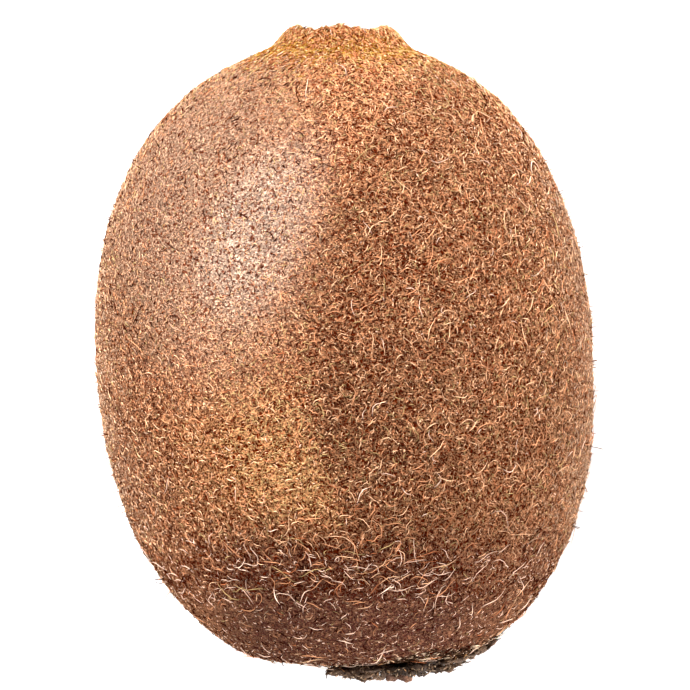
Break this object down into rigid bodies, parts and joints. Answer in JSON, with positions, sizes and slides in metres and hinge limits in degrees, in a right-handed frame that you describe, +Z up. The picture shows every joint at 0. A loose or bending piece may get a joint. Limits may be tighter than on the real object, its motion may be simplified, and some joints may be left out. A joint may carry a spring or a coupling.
{
  "type": "kiwi fruit",
  "caption": "Whole ripe kiwi fruit lying on its side, an egg-shaped berry with a raised collar at the blossom end and a dried calyx with a stalk stub at the stem end.",
  "frame": {"origin": "centre of the small flat spot on the underside, on which the fruit lies", "axes": "+Z up, +Y along the fruit's long axis towards the blossom end with its collar, -Y towards the stem end, +X across the fruit"},
  "size_m": [0.0519, 0.069, 0.0474],
  "materials": {
    "skin": "brown skin under short felted fuzz, dull",
    "calyx": "dried dark brown leafy tissue, rough and dull",
    "wood": "torn dry stalk wood, rough",
    "styles": "dried blackish brown fibres, dull"
  },
  "bodies": {
    "root": {"fruit": "skin", "dried_calyx": "calyx", "stalk_stub": "wood", "dried_styles": "styles"}
  },
  "joints": []
}
